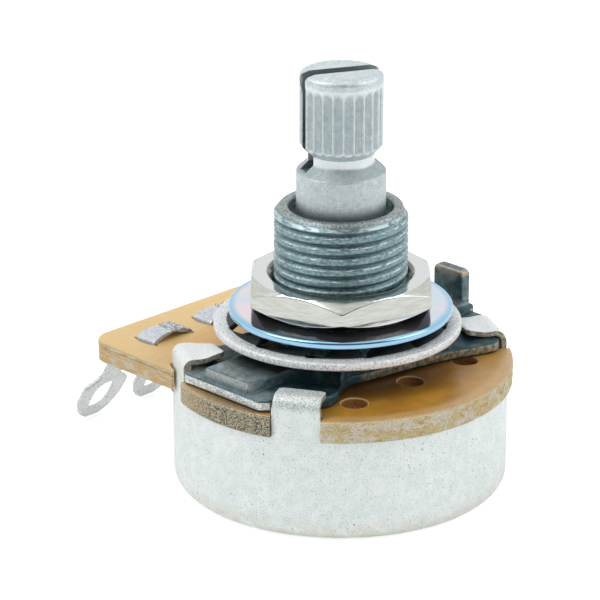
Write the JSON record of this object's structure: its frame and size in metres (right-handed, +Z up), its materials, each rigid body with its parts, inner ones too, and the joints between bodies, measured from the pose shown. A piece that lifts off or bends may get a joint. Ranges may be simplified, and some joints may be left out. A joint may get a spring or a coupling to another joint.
{
  "type": "rotary potentiometer",
  "caption": "Panel potentiometer with a round metal can, a laminate board with solder lugs, a threaded bushing with washers and nut, and a knurled split shaft.",
  "frame": {"origin": "centre of the can's flat back, on the shaft's axis", "axes": "+Z up along the shaft to its knurled end, +X along the mounting plate to the locating lug, +Y to the three solder lugs"},
  "size_m": [0.0246, 0.0334, 0.0306],
  "materials": {
    "tinned_can": "matte tinned sheet with fine dark specks",
    "laminate": "amber pressed-paper laminate, satin face and fibrous sawn edge",
    "carbon_film": "printed carbon layer",
    "silver_film": "printed silver layer",
    "tinned_terminal": "bright tinned strip",
    "dark_zinc": "dark blue-grey zinc with lighter worn edges",
    "fibre": "pressed fibre",
    "spring_steel": "oiled spring steel",
    "shaft_alloy": "pale drawn alloy, satin",
    "rotor_resin": "brown moulded resin",
    "spring_bronze": "thin spring strip",
    "washer_zinc": "pale zinc, slightly grained",
    "bright_zinc": "mirror-bright zinc with a blue tint",
    "nut_nickel": "polished nickel, warm white"
  },
  "bodies": {
    "housing": {"cover": "tinned_can", "element_board": "laminate", "resistive_track": "carbon_film", "track_end_left": "silver_film", "track_end_right": "silver_film", "collector_ring": "silver_film", "terminal_left": "tinned_terminal", "terminal_centre": "tinned_terminal", "terminal_right": "tinned_terminal", "bushing_plate": "dark_zinc", "thrust_washer": "fibre", "lock_washer": "washer_zinc", "dress_washer": "bright_zinc"},
    "shaft": {"shaft": "shaft_alloy", "retaining_ring": "spring_steel", "rotor": "rotor_resin", "wiper": "spring_bronze"},
    "nut": {"mounting_nut": "nut_nickel"}
  },
  "joints": [
    {"name": "shaft_turn", "type": "hinge", "parent": "housing", "child": "shaft", "pos_m": [0, 0, 0.0182], "axis": [0, 0, 1], "range_deg": [-150, 150]},
    {"name": "nut_travel", "type": "slide", "parent": "housing", "child": "nut", "axis": [0, 0, 1], "range_m": [-0.00025, 0.007]}
  ]
}
